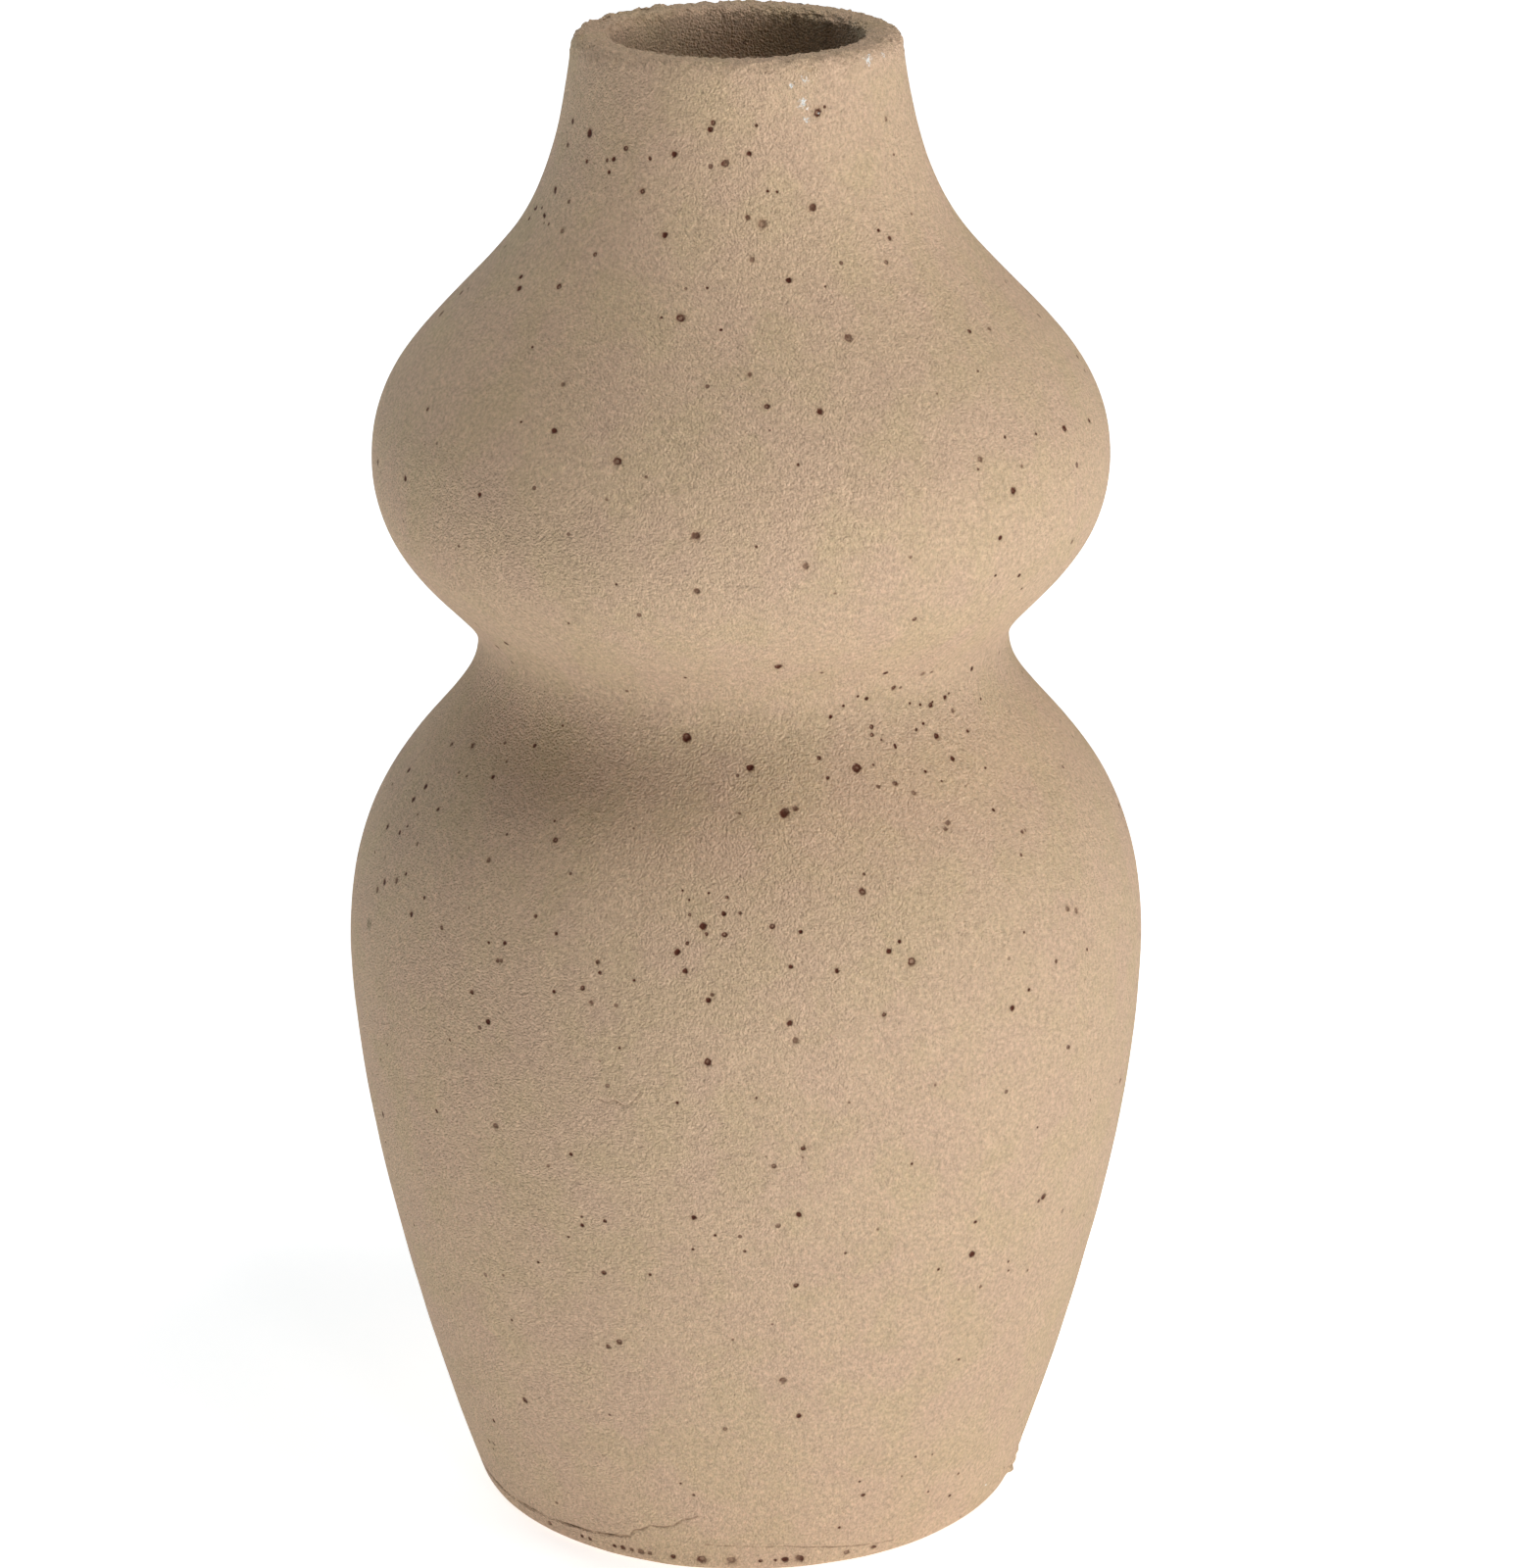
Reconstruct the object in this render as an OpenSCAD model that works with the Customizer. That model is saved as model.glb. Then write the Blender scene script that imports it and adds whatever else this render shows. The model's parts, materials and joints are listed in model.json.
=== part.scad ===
// Double-gourd vase in raw sandy stoneware.
//
// The pot is thrown as separate sections of clay: a base slab, a lower bulb, an upper bulb
// and a neck collar. They stand on one another. The two ends of a joint are cut to a shallow
// V, so that one seats in the other, and a thin ring of slip lutes them. The fired pot is
// seven pieces of clay that meet face to face.
//
// Millimetres, +Z up. The origin is the middle of the foot, on the table.

/* [Heights] */
// From the table to the top of the rim
height = 250; // [244:1:262]
// Height of the belly, the widest place of the lower bulb
belly_z = 97.4; // [92:0.2:104]
// Height of the waist, the narrow place between the bulbs
waist_z = 150; // [147:0.2:153]
// Height of the widest place of the upper bulb
bulb_z = 180.6; // [178:0.2:184]
// Height at which the shoulder turns into the neck
neck_z = 217.4; // [214:0.2:220]

/* [Diameters] */
// Across the foot
foot_d = 93.2; // [86:0.2:98]
// Across the belly
belly_d = 133; // [124:0.2:142]
// Across the waist
waist_d = 87.6; // [82:0.2:94]
// Across the upper bulb
bulb_d = 120.6; // [112:0.2:130]
// Across the place where the shoulder turns into the neck
neck_d = 73.4; // [69:0.2:77]
// Across the rim
rim_d = 52.8; // [50:0.2:56]
// Across the hole through the neck
throat_d = 40.6; // [37:0.2:42]

/* [Sweep of the wall] */
// Lean of the wall as it leaves the foot, in degrees from upright
foot_lean = 20; // [14:1:24]
// Lean of the wall where the shoulder turns into the neck, in degrees from upright
neck_lean = 37.5; // [32:0.5:42]
// Lean of the wall just under the rim, in degrees from upright
rim_lean = 8; // [4:1:10]
// How far the foot's lean carries upwards
foot_reach = 5; // [3:0.5:12]
// How far the belly stays upright below its widest place
belly_reach_down = 38; // [30:1:44]
// How far the belly stays upright above its widest place
belly_reach_up = 35; // [28:1:40]
// How far the waist stays upright below its narrow place
waist_reach_down = 14.6; // [8:0.2:18]
// How far the waist stays upright above its narrow place
waist_reach_up = 7.2; // [6:0.2:12]
// How far the upper bulb stays upright below its widest place
bulb_reach_down = 17.6; // [14:0.2:20]
// How far the upper bulb stays upright above its widest place
bulb_reach_up = 16.8; // [13:0.2:20]
// How far the neck's lean carries down into the shoulder
neck_reach_down = 16.4; // [12:0.2:19]
// How far the neck's lean carries up towards the rim
neck_reach_up = 12; // [8:0.2:16]
// How far the rim's lean carries down into the neck
rim_reach = 7.5; // [4:0.5:10]

/* [Clay] */
// Thickness of the wall where it stands on the base slab
wall_foot = 7.5; // [6.5:0.5:9]
// Thickness of the wall at the belly
wall_belly = 6.5; // [5.5:0.5:8]
// Thickness of the wall at the waist
wall_waist = 7; // [6:0.5:8]
// Thickness of the wall at the upper bulb
wall_bulb = 5.8; // [5:0.2:7]
// Thickness of the wall at the joint of the neck
wall_neck = 6.2; // [5.6:0.2:7]
// Length of the straight part of the hole through the neck
throat_len = 10; // [6:1:12]
// Radius of the rim's outer corner
lip_outer_r = 2; // [1:0.1:2.6]
// Radius of the rim's inner corner
lip_inner_r = 1.6; // [1:0.1:2.4]
// Radius of the foot's lower edge
foot_edge_r = 2.4; // [1.5:0.1:3]
// Depth of the recess trimmed in the underside of the slab
recess_depth = 1.2; // [0.6:0.1:1.8]
// Diameter of that recess, inside the ring that the pot stands on
recess_d = 76; // [60:1:80]

/* [Joints] */
// Height of the slip seam of a joint, along the wall
slip_seam = 0.8; // [0.5:0.1:1.5]
// Depth of the V that is cut in a joint
joint_v = 1.2; // [0.6:0.1:1.6]
// How far up the wall the base slab's joint shows above the rounded edge of the foot
slab_rise = 2.7; // [1:0.1:4]

/* [Hidden] */
$fn = 96;

// Steps along one whole curve of the wall, and the fewest along a short stretch of one
curve_steps = 24;
fewest_steps = 2;
// Share of a curve in one hop, where its length is measured
hop_share = 0.002;
// Steps along a rounded corner
corner_steps = 8;
// Slope of the recess's side, as its run inwards over its depth
recess_slope = 2.5;

clay = [0.78, 0.68, 0.56];
slip = [0.62, 0.52, 0.41];

foot_r = foot_d / 2;
throat_r = throat_d / 2;

// Unit vector that leans inwards, going up, by an angle from upright
function leaning_in(angle) = [-sin(angle), cos(angle)];

function along(a, b, t) = a + (b - a) * t;

function unit(v) = v / norm(v);

// Points of an arc about a centre, from one angle to another
function arc(centre, r, from, to) = [
    for (i = [0:corner_steps])
        centre + r * [cos(along(from, to, i / corner_steps)), sin(along(from, to, i / corner_steps))]
];

function curve_point(c, t) =
    pow(1 - t, 3) * c[0] + 3 * pow(1 - t, 2) * t * c[1]
    + 3 * (1 - t) * t * t * c[2] + pow(t, 3) * c[3];

function curve_heading(c, t) =
    unit(pow(1 - t, 2) * (c[1] - c[0]) + 2 * (1 - t) * t * (c[2] - c[1]) + t * t * (c[3] - c[2]));

// The t at which a curve has run a given length from another t, measured hop by hop
function t_after(c, length, t = 0) =
    let (hop = norm(curve_point(c, t + hop_share) - curve_point(c, t)))
    hop >= length ? t + hop_share * length / hop : t_after(c, length - hop, t + hop_share);

// Corners of the foot and of the rim that the wall runs between
foot_edge_centre = [foot_r - foot_edge_r, foot_edge_r];
lip_outer_centre = [rim_d / 2 - lip_outer_r, height - lip_outer_r];
lip_inner_centre = [throat_r + lip_inner_r, height - lip_inner_r];
wall_start = foot_edge_centre + foot_edge_r * [cos(foot_lean), -sin(foot_lean)];
wall_end = lip_outer_centre + lip_outer_r * [cos(rim_lean), sin(rim_lean)];

// The narrow and wide places of the outer wall
belly = [belly_d / 2, belly_z];
waist = [waist_d / 2, waist_z];
bulb = [bulb_d / 2, bulb_z];
neck = [neck_d / 2, neck_z];

// A wall curve is the four control points of the outer face, then its wall thickness at the
// start and at the end.
foot_curve = [wall_start, wall_start + foot_reach * leaning_in(-foot_lean),
    belly - [0, belly_reach_down], belly, wall_foot, wall_belly];
belly_curve = [belly, belly + [0, belly_reach_up],
    waist - [0, waist_reach_down], waist, wall_belly, wall_waist];
waist_curve = [waist, waist + [0, waist_reach_up],
    bulb - [0, bulb_reach_down], bulb, wall_waist, wall_bulb];
bulb_curve = [bulb, bulb + [0, bulb_reach_up],
    neck - neck_reach_down * leaning_in(neck_lean), neck, wall_bulb, wall_neck];
neck_curve = [neck, neck + neck_reach_up * leaning_in(neck_lean),
    wall_end - rim_reach * leaning_in(rim_lean), wall_end, wall_neck, wall_neck];

// Where the seams lie on those curves
foot_joint_t = t_after(foot_curve, slab_rise);
foot_slip_t = t_after(foot_curve, slab_rise + slip_seam);
waist_slip_t = t_after(waist_curve, slip_seam);
neck_slip_t = t_after(neck_curve, slip_seam);

// A point in the wall: depth 0 is the outer face and depth 1 is the inner face
function wall(c, t, depth) =
    let (heading = curve_heading(c, t))
    curve_point(c, t) + depth * along(c[4], c[5], t) * [-heading.y, heading.x];

// Bottom of the V at a joint, halfway through the wall
function joint_tip(c, t) = wall(c, t, 0.5) - joint_v * curve_heading(c, t);

// Points of a face of the wall from one t up to the next, without the last of them
function stretch(c, from, to, depth) =
    let (steps = max(fewest_steps, ceil(curve_steps * abs(to - from))))
    [for (i = [0:steps - 1]) wall(c, along(from, to, i / steps), depth)];

// Outline of a ring of wall between two joints. Each span is [curve, from, to], going up.
function ring_outline(spans) =
    let (first = spans[0], last = spans[len(spans) - 1])
    concat(
        [for (s = spans) each stretch(s[0], s[1], s[2], 0)],
        [wall(last[0], last[2], 0), joint_tip(last[0], last[2])],
        [for (i = [len(spans) - 1:-1:0]) each stretch(spans[i][0], spans[i][2], spans[i][1], 1)],
        [wall(first[0], first[1], 1), joint_tip(first[0], first[1])]
    );

// Inside of the neck, from the joint up to the straight hole
throat_start = wall(neck_curve, neck_slip_t, 1);
throat_curve = [throat_start, throat_start + neck_reach_up * curve_heading(neck_curve, neck_slip_t),
    lip_inner_centre - [lip_inner_r, throat_len + rim_reach],
    lip_inner_centre - [lip_inner_r, throat_len], 0, 0];

slab_inner_corner = wall(foot_curve, foot_joint_t, 1);

slab_outline = concat(
    [[0, recess_depth], [recess_d / 2 - recess_slope * recess_depth, recess_depth], [recess_d / 2, 0]],
    arc(foot_edge_centre, foot_edge_r, -90, -foot_lean),
    [wall(foot_curve, foot_joint_t, 0), joint_tip(foot_curve, foot_joint_t)],
    [slab_inner_corner, [0, slab_inner_corner.y]]
);

collar_outline = concat(
    stretch(neck_curve, neck_slip_t, 1, 0),
    arc(lip_outer_centre, lip_outer_r, rim_lean, 90),
    arc(lip_inner_centre, lip_inner_r, 90, 180),
    stretch(throat_curve, 1, 0, 0),
    [throat_start, joint_tip(neck_curve, neck_slip_t)]
);

module turned(outline) {
    rotate_extrude() polygon(outline);
}

module base_slab() {
    color(clay) turned(slab_outline);
}

module foot_slip_seam() {
    color(slip) turned(ring_outline([[foot_curve, foot_joint_t, foot_slip_t]]));
}

module lower_bulb() {
    color(clay) turned(ring_outline([[foot_curve, foot_slip_t, 1], [belly_curve, 0, 1]]));
}

module waist_slip_seam() {
    color(slip) turned(ring_outline([[waist_curve, 0, waist_slip_t]]));
}

module upper_bulb() {
    color(clay) turned(ring_outline([[waist_curve, waist_slip_t, 1], [bulb_curve, 0, 1]]));
}

module neck_slip_seam() {
    color(slip) turned(ring_outline([[neck_curve, 0, neck_slip_t]]));
}

module neck_collar() {
    color(clay) turned(collar_outline);
}

base_slab();
foot_slip_seam();
lower_bulb();
waist_slip_seam();
upper_bulb();
neck_slip_seam();
neck_collar();
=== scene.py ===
# %% [markdown]
# # A double-gourd vase in raw speckled stoneware
#
# The vase is one pot made of seven pieces of clay: a base slab, a lower bulb, an upper bulb
# and a neck collar, with a thin ring of slip in each of the three joints. The sizes were
# settled in CAD, so this lesson starts from those solids. It cuts their outlines, turns each
# one again as a fine mesh, and then gives the clay what a drawing leaves out: a slight lean,
# a crumbly rim, cracks at the foot, burnt-out iron specks and a sandy skin.

# %% Load the CAD frame
import json
import math
import random
from collections import namedtuple

import bmesh
import bpy
import numpy as np
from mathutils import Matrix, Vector, kdtree
from mathutils.bvhtree import BVHTree


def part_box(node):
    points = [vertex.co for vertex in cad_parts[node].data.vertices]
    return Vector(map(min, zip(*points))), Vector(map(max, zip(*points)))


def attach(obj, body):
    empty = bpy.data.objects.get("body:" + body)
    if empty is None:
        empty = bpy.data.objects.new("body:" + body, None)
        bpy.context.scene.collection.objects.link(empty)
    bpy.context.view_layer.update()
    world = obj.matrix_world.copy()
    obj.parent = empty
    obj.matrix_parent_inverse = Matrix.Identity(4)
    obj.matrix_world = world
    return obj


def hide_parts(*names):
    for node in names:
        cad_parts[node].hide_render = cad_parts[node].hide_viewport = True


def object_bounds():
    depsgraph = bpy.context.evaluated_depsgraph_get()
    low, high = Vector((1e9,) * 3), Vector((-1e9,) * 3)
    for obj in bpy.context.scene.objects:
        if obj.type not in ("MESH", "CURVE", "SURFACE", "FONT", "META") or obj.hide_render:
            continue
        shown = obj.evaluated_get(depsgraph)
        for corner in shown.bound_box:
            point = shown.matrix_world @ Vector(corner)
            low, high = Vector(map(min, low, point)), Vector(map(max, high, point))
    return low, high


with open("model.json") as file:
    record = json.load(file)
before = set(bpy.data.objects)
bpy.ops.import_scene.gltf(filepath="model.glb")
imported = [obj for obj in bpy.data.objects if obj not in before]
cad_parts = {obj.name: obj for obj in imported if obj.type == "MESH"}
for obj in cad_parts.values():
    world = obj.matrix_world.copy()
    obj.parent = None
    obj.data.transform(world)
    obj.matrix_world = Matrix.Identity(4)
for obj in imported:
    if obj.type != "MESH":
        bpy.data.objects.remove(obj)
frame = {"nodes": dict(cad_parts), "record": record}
cad_low, cad_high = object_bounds()
MM = 0.001
HEIGHT = cad_high.z
print("CAD box in mm:", [round(v / MM, 1) for v in (cad_high - cad_low)])

# %% [markdown]
# ## The camera
#
# A vase is usually shown from a little above, so that its mouth reads as open. A long lens
# from most of a metre away keeps the two bulbs in true proportion. The vase stands a few
# millimetres left of the middle, so the camera steps sideways and stays square to it.

# %% Place the camera
CAMERA_REACH = 880 * MM
CAMERA_TILT = math.radians(19.24)
LOOK_HEIGHT = 123.06 * MM
SIDE_STEP = 3.2 * MM
SENSOR = 36.0
LENS = 120.94

camera_data = bpy.data.cameras.new("camera")
camera_data.sensor_width = SENSOR
camera_data.lens = LENS
camera = bpy.data.objects.new("camera", camera_data)
bpy.context.scene.collection.objects.link(camera)
camera.location = (
    SIDE_STEP,
    -CAMERA_REACH * math.cos(CAMERA_TILT),
    LOOK_HEIGHT + CAMERA_REACH * math.sin(CAMERA_TILT),
)
camera.rotation_euler = (math.pi / 2 - CAMERA_TILT, 0, 0)
bpy.context.scene.camera = camera
print("camera in mm:", [round(v / MM) for v in camera.location])

# %% [markdown]
# ## The studio
#
# Matte clay shows its form only by soft shading. The key softbox stands low at the right, a
# small one near the camera fills the front, and a warm one hangs high over the key. Two cool
# ones stand behind the left shoulder, one high and one low, and draw that edge. The table is
# white and glows, as a lit table does, and throws light up under the bulbs.

# %% Lay the floor and hang the lamps
FLOOR_SIZE = 12.0
TABLE_WHITE = (0.93, 0.93, 0.93, 1)
TABLE_ROUGHNESS = 0.9
PLAIN_WHITE = (1, 1, 1, 1)
# The glow under the vase, the glow further off, and the metres over which it changes
GLOW_NEAR, GLOW_FAR = 0.7, 0.97
NEAR, FAR = 0.2, 0.9
LAMP_DISTANCE = 1.3
ROOM_LIGHT = 0.02


def lit_table():
    """A white table top that glows a little under the vase and more further off."""
    made = bpy.data.materials.new("pale floor")
    made.use_nodes = True
    nodes, links = made.node_tree.nodes, made.node_tree.links
    away, glow = nodes.new("ShaderNodeVectorMath"), nodes.new("ShaderNodeMapRange")
    away.operation = "LENGTH"
    spread = {"From Min": NEAR, "From Max": FAR, "To Min": GLOW_NEAR, "To Max": GLOW_FAR}
    for name, value in spread.items():
        glow.inputs[name].default_value = value
    links.new(nodes.new("ShaderNodeTexCoord").outputs["Object"], away.inputs[0])
    links.new(away.outputs["Value"], glow.inputs["Value"])
    shader = nodes["Principled BSDF"]
    shader.inputs["Base Color"].default_value = TABLE_WHITE
    shader.inputs["Roughness"].default_value = TABLE_ROUGHNESS
    shader.inputs["Emission Color"].default_value = PLAIN_WHITE
    links.new(glow.outputs["Result"], shader.inputs["Emission Strength"])
    return made


def softbox(name, azimuth, elevation, size, power, colour):
    """A square lamp that faces the vase. Azimuth 0 is the camera's side, 90 is the right."""
    turn, lift = math.radians(azimuth), math.radians(elevation)
    level = Vector((math.sin(turn), -math.cos(turn), 0))
    way = level * math.cos(lift) + Vector((0, 0, math.sin(lift)))
    data = bpy.data.lights.new(name, "AREA")
    data.size = size
    data.energy = power
    data.color = colour
    lamp = bpy.data.objects.new(name, data)
    lamp.location = Vector((0, 0, HEIGHT / 2)) + way * LAMP_DISTANCE
    lamp.rotation_euler = way.to_track_quat("Z", "Y").to_euler()
    bpy.context.scene.collection.objects.link(lamp)


bpy.ops.mesh.primitive_plane_add(size=FLOOR_SIZE, location=(0, 0, 0))
floor = bpy.context.object
floor.name = "floor"
floor.data.materials.append(lit_table())

softbox("key", 60, 8, size=0.5, power=5.6, colour=(0.94, 0.98, 1.0))
softbox("front", 25, 8, size=0.2, power=2.6, colour=(1.0, 0.98, 0.96))
softbox("top", 60, 65, size=0.5, power=6.6, colour=(1.0, 0.95, 0.9))
softbox("back", -120, 65, size=0.5, power=3.6, colour=(0.85, 0.95, 1.0))
softbox("edge", -142, 12, size=0.4, power=2.6, colour=(0.78, 0.92, 1.0))

world = bpy.data.worlds.new("room")
world.use_nodes = True
background = world.node_tree.nodes["Background"]
background.inputs["Color"].default_value = PLAIN_WHITE
background.inputs["Strength"].default_value = ROOM_LIGHT
bpy.context.scene.world = world
bpy.context.scene.view_settings.view_transform = "Standard"

# %% [markdown]
# ## Cutting an outline
#
# A thrown pot is a body of revolution, so half of its section says everything about it. The
# CAD solid is sawn through its axis with bisect, everything off the cut is dropped, and the
# side beyond the axis goes as well. What is left is the outline, point for point as designed.

# %% A helper that saws a solid in half
WELD = 0.002 * MM


def start_editing(piece):
    """Makes one object the only selected one and opens it in edit mode."""
    bpy.ops.object.select_all(action="DESELECT")
    piece.select_set(True)
    bpy.context.view_layer.objects.active = piece
    bpy.ops.object.mode_set(mode="EDIT")
    bpy.ops.mesh.select_all(action="SELECT")


def outline_of(node):
    """The cut line of a CAD solid, as an object of edges on the +X side of the axis."""
    piece = bpy.data.objects.new(node + "_skin", frame["nodes"][node].data.copy())
    piece.data.materials.clear()
    bpy.context.scene.collection.objects.link(piece)
    start_editing(piece)
    bpy.ops.mesh.remove_doubles(threshold=WELD)
    bpy.ops.mesh.bisect(plane_co=(0, 0, 0), plane_no=(0, 1, 0), clear_inner=True, clear_outer=True)
    bpy.ops.mesh.select_all(action="SELECT")
    bpy.ops.mesh.bisect(plane_co=(0, 0, 0), plane_no=(1, 0, 0), clear_inner=True)
    bpy.ops.mesh.select_all(action="SELECT")
    bpy.ops.mesh.remove_doubles(threshold=WELD)
    bpy.ops.object.mode_set(mode="OBJECT")
    return piece


# %% [markdown]
# ## Turning it again
#
# Spin does in one move what the wheel does: it carries the outline round the axis. Corners
# of a joint are creased before the mesh is subdivided, so that two pieces that meet keep
# exactly the same edge, while everything between the corners is smoothed.

# %% A helper that throws the outline
AROUND = 128
AROUND_RIM = 160
SHARP = math.radians(35)
SMOOTH_LEVELS = 1


def throw(node, around):
    """Spins the outline of a node into a closed, evenly meshed piece of clay."""
    piece = outline_of(node)
    start_editing(piece)
    bpy.ops.mesh.spin(steps=around, angle=2 * math.pi, center=(0, 0, 0), axis=(0, 0, 1))
    bpy.ops.mesh.select_all(action="SELECT")
    bpy.ops.mesh.remove_doubles(threshold=WELD)
    bpy.ops.mesh.normals_make_consistent(inside=False)
    bpy.ops.mesh.select_all(action="DESELECT")
    bpy.ops.mesh.edges_select_sharp(sharpness=SHARP)
    bpy.ops.transform.edge_crease(value=1)
    bpy.ops.object.mode_set(mode="OBJECT")
    smooth = piece.modifiers.new("smooth", "SUBSURF")
    smooth.levels = smooth.render_levels = SMOOTH_LEVELS
    bpy.ops.object.modifier_apply(modifier=smooth.name)
    bpy.ops.object.shade_smooth_by_angle(angle=SHARP)
    print(node, "has", len(piece.data.polygons), "faces")
    return piece


# %% [markdown]
# ## Seven pieces of clay
#
# The same helper throws all seven. The collar gets more steps round the axis than the rest,
# because its rim will be crumbled and needs finer clay to crumble.

# %% Throw the seven pieces
pieces = {
    node: throw(node, AROUND_RIM if node == "neck_collar" else AROUND) for node in frame["nodes"]
}

# %% [markdown]
# ## One smooth wall
#
# The CAD wall is made of short straight facets, and a joint falls between two of them, where
# it shows as a faint kink. The potter ran a rib over the joints and left no kink. So rays
# measure the wall all the way up, its radius is averaged over a millimetre or so, and the
# outer points of all seven pieces are set on that one curve. A few extra rows close to each
# joint let the two sides meet at the same slope.

# %% Measure the wall
WALL_STEP = 0.25 * MM
WALL_LOW, WALL_HIGH = 1.8 * MM, HEIGHT - 2.5 * MM
RIB = 0.9 * MM
RIB_STEPS = 12
OUTSIDE = 0.2

depsgraph = bpy.context.evaluated_depsgraph_get()
solids = [BVHTree.FromObject(solid, depsgraph) for solid in frame["nodes"].values()]
heights = np.arange(WALL_LOW, WALL_HIGH, WALL_STEP)
reaches = []
for height in heights:
    hits = [solid.ray_cast(Vector((OUTSIDE, 0, height)), Vector((-1, 0, 0))) for solid in solids]
    reaches.append(max(hit[0].x for hit in hits if hit[0]))
reaches = np.array(reaches)
offsets = np.arange(-RIB_STEPS, RIB_STEPS + 1)
rib = np.exp(-((offsets * WALL_STEP / RIB) ** 2) / 2)
padded = np.pad(reaches, RIB_STEPS, mode="reflect", reflect_type="odd")
ribbed = np.convolve(padded, rib / rib.sum(), mode="valid")
print("the rib moves the wall by up to", round(float(abs(ribbed - reaches).max()) / MM, 3), "mm")

# %% Set the outer points on it
ROW_OFFSETS = [offset * MM for offset in (-0.8, -0.25, 0.25, 0.8)]
ROW_SNAP = 0.01 * MM
AT_SURFACE = 0.02 * MM
ON_WALL = 0.12 * MM

joints = []
for node in frame["nodes"]:
    if node.endswith("slip_seam"):
        spots = np.array([tuple(vertex.co) for vertex in frame["nodes"][node].data.vertices])
        wide = np.hypot(spots[:, 0], spots[:, 1])
        edge = spots[wide > np.interp(spots[:, 2], heights, reaches) - AT_SURFACE]
        joints += [edge[:, 2].min(), edge[:, 2].max()]

for piece in pieces.values():
    low, high = (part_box(piece.name[: -len("_skin")])[i].z for i in (0, 1))
    start_editing(piece)
    for row in [joint + offset for joint in joints for offset in ROW_OFFSETS]:
        if low < row < high:
            bpy.ops.mesh.select_all(action="SELECT")
            bpy.ops.mesh.bisect(plane_co=(0, 0, row), plane_no=(0, 0, 1), threshold=ROW_SNAP)
    bpy.ops.object.mode_set(mode="OBJECT")
    spots = np.empty(len(piece.data.vertices) * 3)
    piece.data.vertices.foreach_get("co", spots)
    spots = spots.reshape(-1, 3)
    wide = np.hypot(spots[:, 0], spots[:, 1])
    outer = abs(wide - np.interp(spots[:, 2], heights, reaches)) < ON_WALL
    outer &= (spots[:, 2] > heights[0]) & (spots[:, 2] < heights[-1])
    spots[outer, :2] *= (np.interp(spots[outer, 2], heights, ribbed) / wide[outer])[:, None]
    piece.data.vertices.foreach_set("co", spots.ravel())
    piece.data.update()
print("joints at", [round(float(joint) / MM, 1) for joint in joints], "mm")

# %% [markdown]
# ## A pot that leans
#
# No pot stands dead true. The upper bulb was set on the lower one a hair out of level, so
# the pot leans to the left from the waist up. A lattice round the whole pot bends all seven
# pieces together, and they still meet in their joints.

# %% Lean the pot with a lattice
# One row for each level of the lattice, from the table up: how far it slides to the right,
# in mm, and how far its right side rises over its left side, as a slope
LEAN = [
    (0.0, 0.0),
    (0.15, 0.0),
    (0.2, 0.0),
    (-0.05, 0.003),
    (-0.1, 0.010),
    (-0.45, 0.0135),
    (-0.85, 0.0125),
    (-1.1, 0.010),
    (-1.3, 0.006),
]
bpy.ops.object.add(type="LATTICE", location=(cad_high + cad_low) / 2)
cage = bpy.context.object
cage.scale = cad_high - cad_low
cage.data.points_u, cage.data.points_v, cage.data.points_w = 2, 2, len(LEAN)

# The points run along u first, then v, then w, and each side of the lattice is 1 long
POINTS_IN_ROW = 4
for number, point in enumerate(cage.data.points):
    slide, slope = LEAN[number // POINTS_IN_ROW]
    x = point.co.x * cage.scale.x
    point.co_deform.x += slide * MM / cage.scale.x
    point.co_deform.z += slope * x / cage.scale.z

for piece in pieces.values():
    bpy.context.view_layer.objects.active = piece
    leaning = piece.modifiers.new("lean", "LATTICE")
    leaning.object = cage
    bpy.ops.object.modifier_apply(modifier=leaning.name)
bpy.data.objects.remove(cage)
print("the rim slides", LEAN[-1][0], "mm to the side")

# %% [markdown]
# ## Hand-made unevenness
#
# A thrown wall is never as true as a drawing: it swells and dips by a tenth of a millimetre,
# and soft light shows it. Displace can push along the normal, but the normals of two pieces
# differ where they meet, and a gap would open. Its RGB to XYZ mode reads the push from the
# place alone, so both sides of a joint go the same way.

# %% Displace everything a little


def soften(piece, name, size, amount, group=""):
    """Pushes points about by a soft noise, in metres, and applies it."""
    noise_texture = bpy.data.textures.get(name) or bpy.data.textures.new(name, "CLOUDS")
    noise_texture.cloud_type = "COLOR"
    noise_texture.noise_scale = size
    noise_texture.noise_depth = 2
    bpy.context.view_layer.objects.active = piece
    push = piece.modifiers.new(name, "DISPLACE")
    push.texture = noise_texture
    push.texture_coords = "LOCAL"
    push.direction = "RGB_TO_XYZ"
    push.space = "LOCAL"
    push.mid_level = 0.5
    push.strength = amount
    push.vertex_group = group
    bpy.ops.object.modifier_apply(modifier=push.name)


for piece in pieces.values():
    soften(piece, "swell", size=22 * MM, amount=0.35 * MM)

# %% [markdown]
# ## A crumbly rim
#
# The rim was wiped and not polished. Its edge wavers all round and has crumbled at the back
# left. Both are Displace again with finer noise, and a vertex group holds each to its place:
# one fades down from the lip, and the other also fades away from the back left.

# %% Roughen the lip
LIP_TOP = HEIGHT - 0.4 * MM
LIP_FADE = 4 * MM
BACK_LEFT = Vector((-0.75, 0.66))

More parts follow.
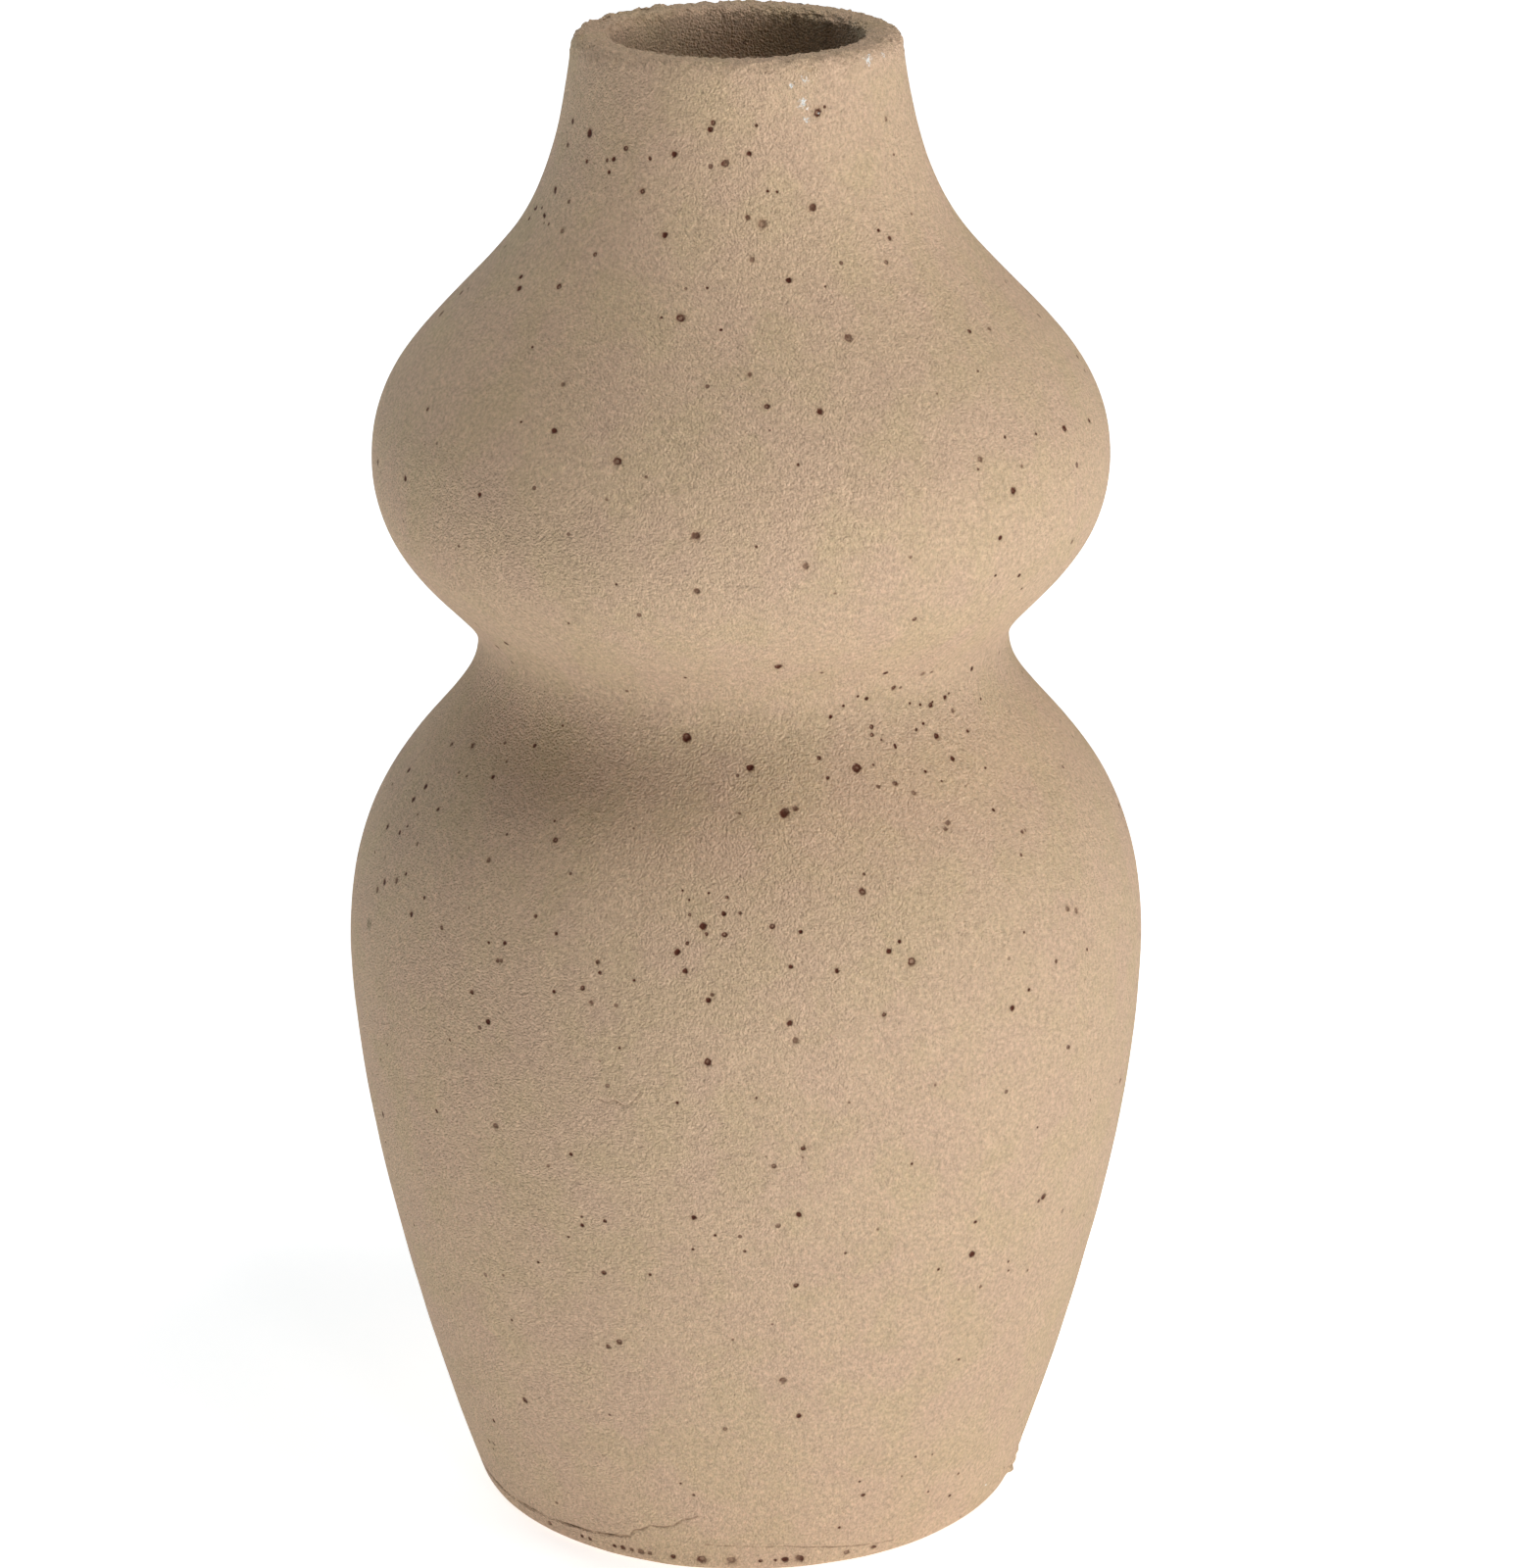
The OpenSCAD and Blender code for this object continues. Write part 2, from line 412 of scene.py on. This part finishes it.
collar = pieces["neck_collar"]
for name in ("lip", "ragged"):
    weights = collar.vertex_groups.new(name=name)
    for vertex in collar.data.vertices:
        weight = min(1 - (LIP_TOP - vertex.co.z) / LIP_FADE, 1)
        if name == "ragged":
            weight *= max(0, BACK_LEFT.dot(vertex.co.xy.normalized())) ** 2
        if weight > 0:
            weights.add([vertex.index], weight, "REPLACE")
soften(collar, "waver", size=0.9 * MM, amount=1.1 * MM, group="lip")
soften(collar, "crumble", size=2.6 * MM, amount=1.3 * MM, group="ragged")
collar.vertex_groups.clear()

# %% [markdown]
# ## Where the marks lie
#
# Specks, cracks and stains are all kept as balls: a place on the skin, a radius, and a depth
# for the pit they leave. A chain of small balls makes a crack. A place is given as an angle
# round the pot and a height, and a ray shot at the axis finds the skin there.

# %% A helper that finds the skin
Ball = namedtuple("Ball", "place radius depth")
bpy.context.view_layer.update()
depsgraph = bpy.context.evaluated_depsgraph_get()
skins = [BVHTree.FromObject(piece, depsgraph) for piece in pieces.values()]


def skin_at(angle, height):
    """The point of the outer skin at an angle in degrees, 0 in front and 90 right, and mm up."""
    out = Vector((math.sin(math.radians(angle)), -math.cos(math.radians(angle)), 0))
    eye = out * OUTSIDE + Vector((0, 0, height * MM))
    hits = [skin.ray_cast(eye, -out) for skin in skins]
    return min((hit for hit in hits if hit[0]), key=lambda hit: hit[3])[0]


CHAIN_STEP = 0.25 * MM


def chain(path, radius, depth):
    """Balls along a path of (angle, height) corners, closer together than they are wide."""
    corners = [skin_at(*corner) for corner in path]
    balls = []
    for start, end in zip(corners, corners[1:]):
        count = max(1, round((end - start).length / CHAIN_STEP))
        balls += [Ball(start.lerp(end, i / count), radius, depth) for i in range(count)]
    return balls


# %% [markdown]
# ## Iron specks
#
# Grains of iron in the clay burn out in the kiln. Each leaves a dark red-brown dot in a
# small pit. The larger ones of the front are listed, as (angle, height, radius). Their angles
# and heights were worked out by a separate script and rounded, and their radii were judged
# by eye. The rest are scattered with a fixed seed, singly and in loose clusters, all round
# the pot.

# %% Place the large specks and scatter the small ones
PLACED = [
    (-41, 247, 0.4), (-56, 237, 0.8), (-68, 234, 0.5), (-39, 236, 0.5), (-30, 235, 0.4),
    (-22, 236, 0.6), (-6, 235, 0.7), (-10, 241, 0.5), (-44, 232, 0.4), (-31, 230, 0.6),
    (25, 242, 0.8), (1, 227, 0.5), (5, 226, 0.8), (20, 228, 0.7), (-22, 224, 0.6),
    (-68, 227, 0.6), (-77, 223, 0.5), (-69, 223, 0.4), (-56, 222, 0.5), (-41, 220, 0.4),
    (-60, 213, 0.6), (-86, 208, 0.5), (2, 221, 0.5), (11, 218, 0.6), (-14, 213, 0.8),
    (22, 210, 0.8), (4, 202, 0.6), (13, 201, 0.7), (1, 206, 0.5), (-34, 203, 0.5),
    (-32, 197, 0.6), (-62, 195, 0.4), (-76, 183, 0.6), (-43, 186, 0.4), (-20, 194, 0.8),
    (-7, 184, 0.8), (-7, 175, 0.6), (9, 179, 0.6), (62, 192, 0.7), (45, 186, 0.7),
    (6, 160, 0.8), (-12, 146, 0.9), (1, 142, 0.7), (22, 141, 0.9), (7, 136, 0.9),
    (9, 136.5, 0.6), (36, 132, 0.6), (42, 143, 0.6), (18, 125, 0.7), (-6, 121, 0.7),
    (4, 121, 0.5), (88, 120, 0.5), (54, 115, 0.6), (56, 114, 0.6), (24, 114, 0.8),
    (13, 114, 0.5), (-86, 112, 0.6), (-5, 110, 0.6), (40, 103, 0.6), (-5, 100, 0.7),
    (8, 85, 0.5), (4, 82, 0.5), (36, 60, 0.7), (-20, 47, 0.6), (6, 41, 0.7),
]
FOOT_SPECKS = [
    (-45, 0.6), (-36, 0.4), (-34, 0.4), (-28, 0.5), (-26, 0.6), (-24, 0.5), (-22, 0.7), (-20, 0.5),
    (-15, 0.6), (-9, 1.0), (-3, 1.0), (3, 0.4), (6, 0.4), (8, 0.8), (11, 1.0), (21, 0.6), (27, 0.5),
]

FOOT_SPECK_HEIGHT = 2.6
TINY = 0.26

dice = random.Random(7)
iron = PLACED + [(angle, FOOT_SPECK_HEIGHT, radius) for angle, radius in FOOT_SPECKS]


def scatter(angle, height, spread, count, largest):
    """Small specks strewn about a place, mostly tiny."""
    for _ in range(count):
        radius = TINY + (largest - TINY) * dice.random() ** 2
        iron.append((dice.gauss(angle, spread), dice.gauss(height, spread), radius))


# Loose clusters: angle, height, spread and how many
CLUSTERS = [
    (34, 143, 9, 34), (-70, 222, 6, 10), (-4, 118, 10, 20), (-62, 122, 9, 20), (-28, 112, 7, 12),
    (30, 14, 8, 10), (-52, 233, 7, 4), (120, 150, 10, 20), (200, 90, 12, 26), (160, 205, 9, 14),
    (-120, 60, 12, 16), (250, 170, 10, 14), (-10, 60, 16, 14), (50, 190, 8, 8),
]
for angle, height, spread, count in CLUSTERS:
    scatter(angle, height, spread, count, largest=0.6)
SINGLE = 330
for _ in range(SINGLE):
    height = dice.uniform(5, 245)
    iron.append((dice.uniform(-180, 180), height, TINY + 0.4 * dice.random() ** 3))

LOWEST, HIGHEST = 1.2, 246
PIT = 0.32
specks = []
for angle, height, radius in iron:
    if LOWEST < height < HIGHEST:
        specks.append(Ball(skin_at(angle, height), radius * MM, PIT * radius * MM))
print(len(specks), "iron specks")

# %% [markdown]
# ## Cracks and burrs
#
# At the foot the slab and the wall drew apart a little as they dried. That left a crease on
# the left, a wavy crack that climbs from its end, and a faint line on the right. Each is a
# chain of balls. A lump is a ball with a depth below zero. The places began as output of the
# same separate script and were then adjusted by hand.

# %% Lay out the cracks and lumps
cracks = chain([(-75, 4.0), (-64, 3.6), (-50, 3.8)], 0.6 * MM, 0.45 * MM)
cracks += chain([(-50, 3.8), (-38, 4.2), (-30, 4.7), (-24, 5.5)], 0.45 * MM, 0.25 * MM)
CLIMBING_CRACK = [
    (-24, 5.5), (-22.5, 7.2), (-21, 7.6), (-19, 8.8), (-16, 9.0),
    (-14, 9.6), (-12, 11.2), (-10.5, 11.4), (-9, 12.2),
]
FAINT_LINE = [(-8, 6.0), (0, 5.8), (8, 5.6), (16, 4.6), (24, 3.6), (32, 2.9)]
HAIRLINE = [
    (-20.5, 92.2), (-19.5, 91.6), (-18, 92.2), (-16.5, 91.4), (-15.2, 92.6), (-14.2, 94.4),
]
cracks += chain(CLIMBING_CRACK, 0.4 * MM, 0.2 * MM)
cracks += chain(FAINT_LINE, 0.35 * MM, 0.12 * MM)
cracks += chain(HAIRLINE, 0.3 * MM, 0.14 * MM)

# Angle, height, radius and rise of each lump: the burr at the foot, then two on the shoulder
LUMPS = [
    (74, 8.5, 1.3, 0.2), (73, 6.8, 1.5, 0.45), (72.5, 5.2, 1.6, 0.8), (72, 3.8, 1.4, 1.0),
    (-73, 209, 0.9, 0.2), (-64, 208, 1.6, 0.15),
]
HAIRLINE_LIP = [(-20.5, 92.9), (-18, 92.9), (-16.5, 92.1), (-15.6, 93.2), (-14.8, 94.6)]
lumps = chain(HAIRLINE_LIP, 0.6 * MM, -0.16 * MM)
for angle, height, radius, rise in LUMPS:
    lumps.append(Ball(skin_at(angle, height), radius * MM, -rise * MM))

# %% [markdown]
# ## Crumbs on the rim
#
# At the back left of the rim small lumps stand up and others have broken out. They lie on a
# ring just inside the lip's outer edge, strewn by the same seeded dice, and two deeper
# nicks are listed.

# %% Strew crumbs along the rim
RIM_RADIUS = 25.2 * MM
CRUMBS = 16
NICKS = [(-140, 1.6, 0.7), (-118, 1.2, 0.5)]


def on_rim(angle, below):
    """A point on the ring of the rim at an angle in degrees, some metres below its top."""
    turn = math.radians(angle)
    return Vector((math.sin(turn) * RIM_RADIUS, -math.cos(turn) * RIM_RADIUS, HEIGHT - below))


for _ in range(CRUMBS):
    place = on_rim(dice.uniform(-170, -70), 1.0 * MM)
    lumps.append(Ball(place, dice.uniform(0.7, 1.5) * MM, dice.uniform(-0.5, 0.3) * MM))
for angle, radius, depth in NICKS:
    lumps.append(Ball(on_rim(angle, 0.4 * MM), radius * MM, depth * MM))

# %% [markdown]
# ## Stains and dust
#
# A khaki smudge and a short stroke are on the left of the belly. Something white was rubbed on
# at the neck, the rim and the foot. Neither changes the shape, so these balls have no depth,
# or hardly any, and only colour what lies inside them. Their places were found in the same
# way as those of the cracks.

# %% Place the stains and the dust
stains = [Ball(skin_at(-69, 106.5), 1.5 * MM, 0), Ball(skin_at(-69.5, 107.5), 1.1 * MM, 0)]
stains += chain([(-34.6, 98.6), (-33.4, 100.2)], 0.35 * MM, 0.05 * MM)

# Angle, height and radius
RUBBED = [
    (16, 246.5, 1.6), (20, 243.5, 2.4), (21, 241, 1.4), (21, 247, 1.8), (25.5, 241.8, 0.45),
    (50, 248.6, 2.6), (60, 248.6, 1.6), (58, 6.0, 1.6), (27, 7.5, 1.3),
]
dust = [Ball(skin_at(angle, height), radius * MM, 0) for angle, height, radius in RUBBED]

# %% [markdown]
# ## Pressing the marks into the clay
#
# The mesh is too coarse for a pit a millimetre wide, and a mesh fine enough everywhere would
# be far too heavy. So only the faces near a mark are subdivided, in three narrowing passes.
# Then the points inside each ball are pushed along their normals. The distance to the ball
# is kept as an attribute, which the material reads to colour the same place.

# %% A helper that refines the mesh near the balls
PASSES = (1.0 * MM, 0.45 * MM, 0.15 * MM)


def refine(piece, balls):
    """Subdivides the faces around each ball, once for each pass."""
    for reach in PASSES:
        start_editing(piece)
        bpy.ops.mesh.select_all(action="DESELECT")
        form = bmesh.from_edit_mesh(piece.data)
        form.faces.ensure_lookup_table()
        tree = kdtree.KDTree(len(form.faces))
        for face in form.faces:
            tree.insert(face.calc_center_median(), face.index)
        tree.balance()
        near = set()
        for ball in balls:
            near |= {hit[1] for hit in tree.find_range(ball.place, ball.radius + reach)}
        for index in near:
            form.faces[index].select_set(True)
        bmesh.update_edit_mesh(piece.data)
        if near:
            bpy.ops.mesh.subdivide(number_cuts=1)
        bpy.ops.object.mode_set(mode="OBJECT")


# %% A helper that presses the balls in and notes where they are
def press(piece, marks):
    """Dents a piece, and writes how deep each point lies in each kind of mark."""
    vertices = piece.data.vertices
    places, normals = np.empty(len(vertices) * 3), np.empty(len(vertices) * 3)
    vertices.foreach_get("co", places)
    vertices.foreach_get("normal", normals)
    tree = kdtree.KDTree(len(vertices))
    for index, place in enumerate(places.reshape(-1, 3)):
        tree.insert(place, index)
    tree.balance()
    dent = np.zeros(len(vertices))
    for name, balls in marks.items():
        inside = np.full(len(vertices), -1.0)
        for ball in balls:
            for _, index, distance in tree.find_range(ball.place, 2 * ball.radius):
                closeness = 1 - distance / ball.radius
                inside[index] = max(inside[index], closeness)
                if closeness > 0:
                    depth = ball.depth * (1 - (1 - closeness) ** 2) ** 2
                    if abs(depth) > abs(dent[index]):
                        dent[index] = depth
        note = piece.data.attributes.new(name, "FLOAT", "POINT")
        note.data.foreach_set("value", inside.astype(np.float32))
    vertices.foreach_set("co", places - normals * np.repeat(dent, 3))
    piece.data.update()
    return np.count_nonzero(dent)


# %% Refine and press all seven pieces
marks = {"iron": specks, "crack": cracks, "lump": lumps, "stain": stains, "dust": dust}
BROAD = 1.3 * MM
narrow_lumps = [ball for ball in lumps if ball.radius < BROAD]
for node, piece in pieces.items():
    refine(piece, specks + cracks + narrow_lumps)
    moved = press(piece, marks)
    piece.data.attributes.remove(piece.data.attributes["lump"])
    triangles = sum(len(face.vertices) - 2 for face in piece.data.polygons)
    print(node, "has", triangles, "triangles and", moved, "dented points")

# %% [markdown]
# ## Tools for materials
#
# Every finish here is procedural. An effect that both clays share is a node group, built
# once. Two short helpers keep that readable: one adds a node and fills or links its inputs,
# the other opens a group with its named sockets.

# %% Helpers for nodes


def add_node(tree, kind, values=None, **settings):
    """Adds a node to a tree, sets its settings, and fills or links its inputs."""
    made = tree.nodes.new(kind)
    for name, value in settings.items():
        setattr(made, name, value)
    for socket, value in (values or {}).items():
        if isinstance(value, bpy.types.NodeSocket):
            tree.links.new(value, made.inputs[socket])
        else:
            made.inputs[socket].default_value = value
    return made


def new_group(name, inputs, outputs):
    """A node group with named inputs (name, kind, default) and outputs (name, kind)."""
    tree = bpy.data.node_groups.new(name, "ShaderNodeTree")
    for label, kind, value in inputs:
        socket = tree.interface.new_socket(label, in_out="INPUT", socket_type=kind)
        socket.default_value = value
    for label, kind in outputs:
        tree.interface.new_socket(label, in_out="OUTPUT", socket_type=kind)
    return tree, tree.nodes.new("NodeGroupInput").outputs, tree.nodes.new("NodeGroupOutput").inputs


def math_node(tree, operation, first, second=0.0, third=0.0):
    """One sum or product, by its output."""
    values = {0: first, 1: second, 2: third}
    return add_node(tree, "ShaderNodeMath", values, operation=operation).outputs[0]


def ramp(tree, value, low, high, start=0.0, end=1.0):
    """A smooth step from start to end while the value goes from low to high."""
    values = {"Value": value, "From Min": low, "From Max": high, "To Min": start, "To Max": end}
    return add_node(tree, "ShaderNodeMapRange", values, interpolation_type="SMOOTHSTEP").outputs[0]


def blend_colours(tree, factor, first, second, blend="MIX"):
    """One colour over another."""
    values = {0: factor, 6: first, 7: second}
    return add_node(tree, "ShaderNodeMix", values, data_type="RGBA", blend_type=blend).outputs[2]


def place_on(tree, aside=0.0):
    """The object's own coordinates, moved aside so that two patterns don't fall together."""
    where = add_node(tree, "ShaderNodeTexCoord").outputs["Object"]
    values = {0: where, 1: (aside, aside, aside)}
    return add_node(tree, "ShaderNodeVectorMath", values, operation="ADD").outputs[0]


def grain_noise(tree, scale, detail=2.0, roughness=0.5, aside=0.0):
    """Noise whose features are about 1 / scale metres wide."""
    where = place_on(tree, aside)
    values = {"Vector": where, "Scale": scale, "Detail": detail, "Roughness": roughness}
    return add_node(tree, "ShaderNodeTexNoise", values).outputs["Fac"]


def mark_value(tree, name):
    """The attribute that press() wrote: 1 in the middle of a mark, 0 at its edge."""
    return add_node(tree, "ShaderNodeAttribute", attribute_name=name).outputs["Fac"]


# %% [markdown]
# ## The clay's colour
#
# Fired sandy stoneware is never one colour. Wide soft patches turn pinkish or olive where the
# kiln gave more or less air, and each grain of sand has its own tone. The group mixes three
# clays by wide noise and then lightens and darkens single grains by fine noise. Two noises
# are read at places moved aside, so that their patterns don't fall together.

# %% Build the mottled clay group
tree, given, result = new_group(
    "mottled clay",
    [
        ("Clay", "NodeSocketColor", (0.64, 0.46, 0.31, 1)),
        ("Pink Clay", "NodeSocketColor", (0.64, 0.44, 0.32, 1)),
        ("Olive Clay", "NodeSocketColor", (0.6, 0.46, 0.28, 1)),
        ("Patches", "NodeSocketFloat", 0.6),
        ("Grain", "NodeSocketFloat", 0.2),
    ],
    [("Colour", "NodeSocketColor")],
)
pinkish = ramp(tree, grain_noise(tree, 85, 3), 0.42, 0.62, 0, given["Patches"])
olive = ramp(tree, grain_noise(tree, 100, 3, aside=7.3), 0.45, 0.65, 0, given["Patches"])
colour = blend_colours(tree, pinkish, given["Clay"], given["Pink Clay"])
colour = blend_colours(tree, olive, colour, given["Olive Clay"])
warm_grain = ramp(tree, grain_noise(tree, 900, 2, 0.6, aside=3.1), 0.35, 0.65, 0, 0.22)
colour = blend_colours(tree, warm_grain, colour, given["Pink Clay"])
tone = math_node(tree, "SUBTRACT", grain_noise(tree, 1500, 3, 0.65, aside=1.7), 0.5)
tone = math_node(tree, "MULTIPLY_ADD", tone, given["Grain"], 1.0)
scaled = add_node(tree, "ShaderNodeVectorMath", {0: colour, "Scale": tone}, operation="SCALE")
tree.links.new(scaled.outputs[0], result["Colour"])
mottled_clay = tree

# %% [markdown]
# ## Sand in the clay
#
# The skin feels like fine sandpaper. Grains under half a millimetre wide stand out of it, over
# slower dimples a few millimetres wide. Both are far too many to model, so they are a height
# for a Bump node. Rounded Voronoi cells make the grains, and noise breaks them up.

# %% Build the sandy skin group
tree, given, result = new_group(
    "sandy skin",
    [
        ("Grain Scale", "NodeSocketFloat", 2600.0),
        ("Dimples", "NodeSocketFloat", 0.12),
    ],
    [("Height", "NodeSocketFloat")],
)
where = place_on(tree)
cells = add_node(
    tree, "ShaderNodeTexVoronoi", {"Vector": where, "Scale": given["Grain Scale"]}
).outputs["Distance"]
fine = add_node(
    tree,
    "ShaderNodeTexNoise",
    {"Vector": where, "Scale": given["Grain Scale"], "Detail": 3.0, "Roughness": 0.6},
).outputs["Fac"]
slow = grain_noise(tree, 420, 2, aside=4.4)
height = math_node(tree, "MULTIPLY_ADD", cells, -0.6, fine)
height = math_node(tree, "MULTIPLY_ADD", slow, given["Dimples"], height)
tree.links.new(height, result["Height"])
sandy_skin = tree

# %% [markdown]
# ## Burnt iron, with painted light in its pits
#
# A speck is darkest at its rim. The middle of some is painted a lighter brown, as painted light
# on the far wall of its pit. The large specks follow the attribute that was pressed into the
# mesh, with an edge that noise makes uneven. Hundreds of smaller ones come from Voronoi cells,
# each with its own size.

# %% Build the group of iron specks and the painted light in their pits
tree, given, result = new_group(
    "burnt iron",
    [("Dots", "NodeSocketFloat", 190.0), ("Dot Size", "NodeSocketFloat", 0.1)],
    [("Mask", "NodeSocketFloat"), ("Core", "NodeSocketFloat"), ("Halo", "NodeSocketFloat")],
)
depth = mark_value(tree, "iron")
uneven = math_node(tree, "SUBTRACT", grain_noise(tree, 1100, 2, 0.6), 0.5)
depth = math_node(tree, "MULTIPLY_ADD", uneven, 1.1, depth)
large = ramp(tree, depth, -0.05, 0.42)
cells = add_node(tree, "ShaderNodeTexVoronoi", {"Vector": place_on(tree), "Scale": given["Dots"]})
own = add_node(tree, "ShaderNodeSeparateColor", {0: cells.outputs["Color"]}).outputs[0]
reach = math_node(tree, "MULTIPLY", math_node(tree, "MULTIPLY", own, own), given["Dot Size"])
small = math_node(tree, "SUBTRACT", reach, cells.outputs["Distance"])
small = math_node(tree, "MULTIPLY", ramp(tree, small, 0.0, 0.012), 0.75)
mask = math_node(tree, "MAXIMUM", large, small)
faint = ramp(tree, grain_noise(tree, 200, 1, aside=6.6), 0.36, 0.5, 0.62, 1.0)
mask = math_node(tree, "MULTIPLY", mask, faint)
# Painted light: which specks get a lighter middle, for light on the far wall of the pit
pit_light_chance = ramp(tree, grain_noise(tree, 240, 1, aside=2.2), 0.5, 0.58)
painted_pit_light = math_node(tree, "MULTIPLY", ramp(tree, depth, 0.5, 0.75), pit_light_chance)
tree.links.new(mask, result["Mask"])
tree.links.new(painted_pit_light, result["Core"])
tree.links.new(ramp(tree, depth, -0.9, 0.1), result["Halo"])
burnt_iron_and_pit_light = tree

# %% [markdown]
# ## Chalk dust
#
# Near the rim the pot was rubbed by something white. The dust only caught on the tops of the
# sand grains, so it is a fine noise with a hard threshold, held to where the attribute says.

# %% Build the chalk dust group
tree, given, result = new_group(
    "chalk dust", [("Cover", "NodeSocketFloat", 0.5)], [("Mask", "NodeSocketFloat")]
)
here = ramp(tree, mark_value(tree, "dust"), 0.0, 0.9, 0, given["Cover"])
flecks = math_node(tree, "ADD", grain_noise(tree, 2300, 2, 0.8, aside=5.0), here)
tree.links.new(ramp(tree, flecks, 0.89, 0.96), result["Mask"])
chalk_dust = tree

# %% [markdown]
# ## Two clays
#
# The sections are thrown from grogged stoneware and luted with slip, which is the same clay
# sieved and watered: the same colours, with less sand in its skin. One function makes both
# materials from the four groups and sets each one's own values on its sockets.

# %% Make the materials
BURNT = (0.105, 0.028, 0.014, 1)
# Painted light: the lighter brown in the middle of some specks, for the lit far wall of the pit
PAINTED_PIT_LIGHT = (0.34, 0.2, 0.13, 1)
HALO = (0.42, 0.27, 0.16, 1)
KHAKI = (0.26, 0.2, 0.12, 1)
# Painted shade: the dark brown laid in the cracks and the crease at the foot
PAINTED_CRACK_SHADE = (0.3, 0.19, 0.12, 1)
CHALK = (0.86, 0.86, 0.84, 1)
DRY, BURNT_SHEEN = 0.92, 0.6
SPECULAR = 0.2
DUST_COVER = 0.42
HALO_STRENGTH = 0.3
SPECK_DEPTH = 0.5


def clay_material(name, clay, pink, olive, patches, grain, grain_scale, bump):
    """Raw fired clay with sand, iron specks, cracks, stains and dust, with painted shade in the
    cracks and painted light in some speck pits.
    """
    made = bpy.data.materials.new(name)
    made.use_nodes = True
    tree = made.node_tree
    shader = tree.nodes["Principled BSDF"]

    def placed(group, **values):
        node = tree.nodes.new("ShaderNodeGroup")
        node.node_tree = group
        for label, value in values.items():
            node.inputs[label.replace("_", " ")].default_value = value
        return node.outputs

    colour = placed(
        mottled_clay, Clay=clay, Pink_Clay=pink, Olive_Clay=olive, Patches=patches, Grain=grain
    )["Colour"]
    iron = placed(burnt_iron_and_pit_light)
    dusty = placed(chalk_dust, Cover=DUST_COVER)["Mask"]
    uneven = math_node(tree, "SUBTRACT", grain_noise(tree, 700, 2), 0.5)
    stained = math_node(tree, "MULTIPLY_ADD", uneven, 1.4, mark_value(tree, "stain"))
    colour = blend_colours(tree, ramp(tree, stained, 0.0, 0.4, 0, 0.75), colour, KHAKI)
    # Painted shade: the cracks and the crease at the foot are darkened, as shade in their grooves
    crack_shade_mask = math_node(tree, "MULTIPLY_ADD", uneven, 1.0, mark_value(tree, "crack"))
    colour = blend_colours(tree, ramp(tree, crack_shade_mask, 0.3, 0.9, 0, 0.7), colour, PAINTED_CRACK_SHADE)
    halo = math_node(tree, "MULTIPLY", iron["Halo"], HALO_STRENGTH)
    colour = blend_colours(tree, halo, colour, HALO)
    # The speck's colour, with painted light in the middle of some
    burnt = blend_colours(tree, iron["Core"], BURNT, PAINTED_PIT_LIGHT)
    colour = blend_colours(tree, iron["Mask"], colour, burnt)
    colour = blend_colours(tree, dusty, colour, CHALK)
    tree.links.new(colour, shader.inputs["Base Color"])
    gloss = ramp(tree, iron["Mask"], 0.2, 0.9, DRY, BURNT_SHEEN)
    tree.links.new(gloss, shader.inputs["Roughness"])
    shader.inputs["Specular IOR Level"].default_value = SPECULAR

    height = placed(sandy_skin, Grain_Scale=grain_scale)["Height"]
    height = math_node(tree, "MULTIPLY_ADD", iron["Mask"], -SPECK_DEPTH, height)
    pushed = add_node(tree, "ShaderNodeBump", {"Height": height, "Strength": 1.0, "Distance": bump})
    tree.links.new(pushed.outputs[0], shader.inputs["Normal"])
    return made


finishes = {
    "stoneware": clay_material(
        "raw stoneware",
        clay=(0.655, 0.475, 0.32, 1),
        pink=(0.645, 0.45, 0.325, 1),
        olive=(0.61, 0.465, 0.285, 1),
        patches=0.5,
        grain=1.1,
        grain_scale=2600,
        bump=0.5 * MM,
    ),
    "slip": clay_material(
        "luting slip",
        clay=(0.64, 0.46, 0.31, 1),
        pink=(0.64, 0.45, 0.325, 1),
        olive=(0.6, 0.46, 0.28, 1),
        patches=0.5,
        grain=1.0,
        grain_scale=2800,
        bump=0.44 * MM,
    ),
}
print("materials:", list(finishes))

# %% [markdown]
# ## Handing over
#
# Each new piece takes the finish that its CAD node's slot names, takes the place of that
# node, which is hidden, and rides on the pot's one body, since nothing on it moves.

# %% Tie the pieces to the frame
slots = {row["node"]: row["material_slot"] for row in frame["record"]["subparts"]}
for node, piece in pieces.items():
    piece.data.materials.append(finishes[slots[node]])
    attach(piece, "root")
    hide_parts(node)
